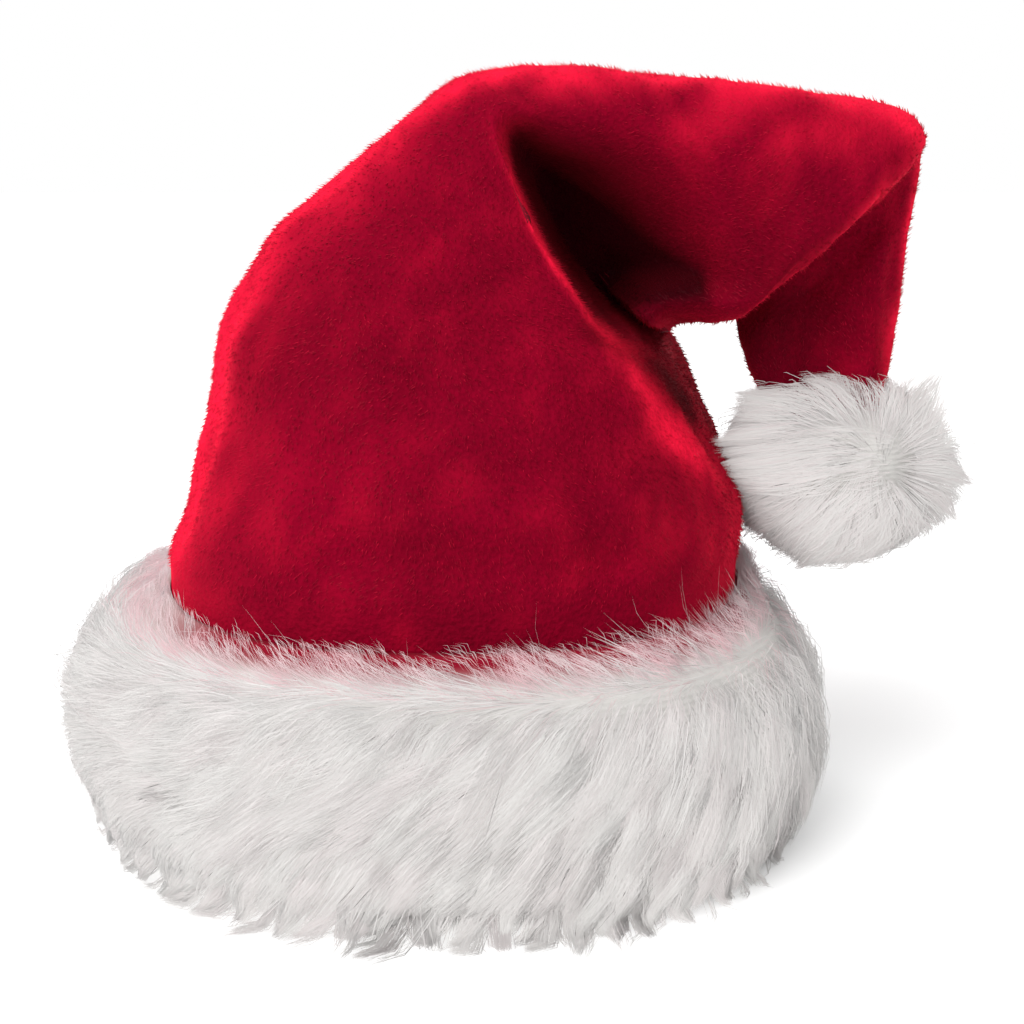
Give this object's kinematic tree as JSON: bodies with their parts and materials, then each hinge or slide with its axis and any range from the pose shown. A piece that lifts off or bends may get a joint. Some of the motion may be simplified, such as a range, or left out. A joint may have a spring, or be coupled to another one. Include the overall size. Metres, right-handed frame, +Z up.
{
  "type": "plush santa hat",
  "caption": "Plush stocking-cap with its tapering tail folded over to one side, a deep long-pile cuff to rest on and a long-pile pompom at the tail's end.",
  "frame": {"origin": "on the floor, at the middle of the whole hat's box", "axes": "+Z up from the cuff's flat underside, +X toward the side that the tail hangs on, -Y toward the front that the picture shows"},
  "size_m": [0.3216, 0.2675, 0.2666],
  "materials": {
    "red_plush": "short dense plush pile, deep crimson",
    "white_fur": "long soft white faux fur"
  },
  "bodies": {
    "root": {"crown": "red_plush", "cuff": "white_fur", "pompom": "white_fur"}
  },
  "joints": []
}
